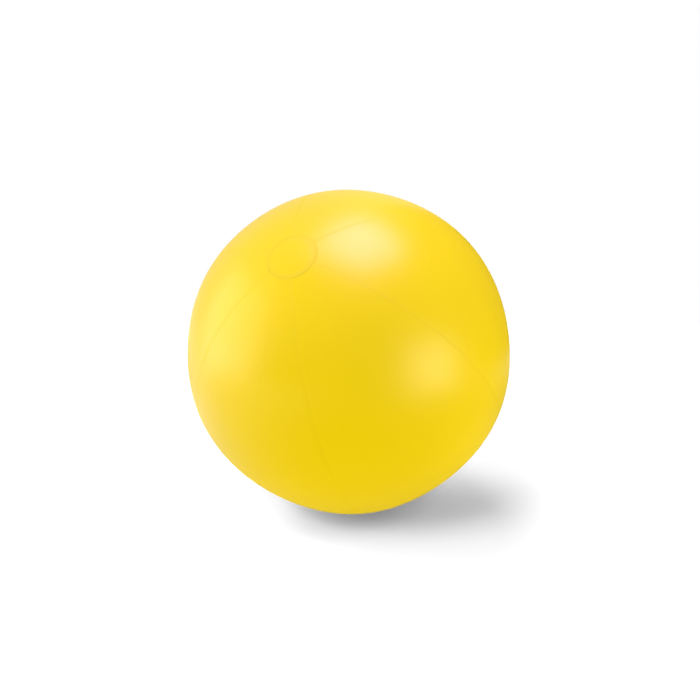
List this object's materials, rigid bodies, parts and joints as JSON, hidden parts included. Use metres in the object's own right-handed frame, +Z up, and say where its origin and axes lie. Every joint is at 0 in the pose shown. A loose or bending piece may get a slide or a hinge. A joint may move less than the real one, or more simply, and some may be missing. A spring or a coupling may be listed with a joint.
{
  "type": "beach ball",
  "caption": "Inflatable beach ball of welded film panels between two pole discs, with a push-in mouth valve, strapped plug and non-return flap.",
  "frame": {"origin": "middle of the flat patch of film on which the ball lies", "axes": "+Z up; the plain pole leans 49 degrees from upright towards -Y, so the valve pole points down and towards +Y; the valve's hinges turn about X"},
  "size_m": [0.2579, 0.2578, 0.257],
  "materials": {
    "film": "satin yellow vinyl film",
    "valve": "milky soft vinyl"
  },
  "bodies": {
    "ball": {"panel_1": "film", "panel_2": "film", "panel_3": "film", "panel_4": "film", "panel_5": "film", "panel_6": "film", "plain_pole_disc": "film", "valve_pole_disc": "film", "valve_flange": "valve", "valve_web": "valve"},
    "stem": {"valve_stem": "valve", "plug_strap": "valve"},
    "plug": {"valve_plug": "valve"},
    "flap": {"check_flap": "valve"}
  },
  "joints": [
    {"name": "valve_pull", "type": "slide", "parent": "ball", "child": "stem", "axis": [0, 0.7547, -0.6561], "range_m": [0, 0.01], "deforming": ["valve_web"]},
    {"name": "plug_swing", "type": "hinge", "parent": "stem", "child": "plug", "pos_m": [-0.00202, 0.10244, 0.04749], "axis": [1, 0, 0], "range_deg": [0, 130], "deforming": ["plug_strap"]},
    {"name": "flap_swing", "type": "hinge", "parent": "stem", "child": "flap", "pos_m": [-0.00202, 0.09031, 0.0542], "axis": [-1, 0, 0], "range_deg": [0, 40]}
  ]
}
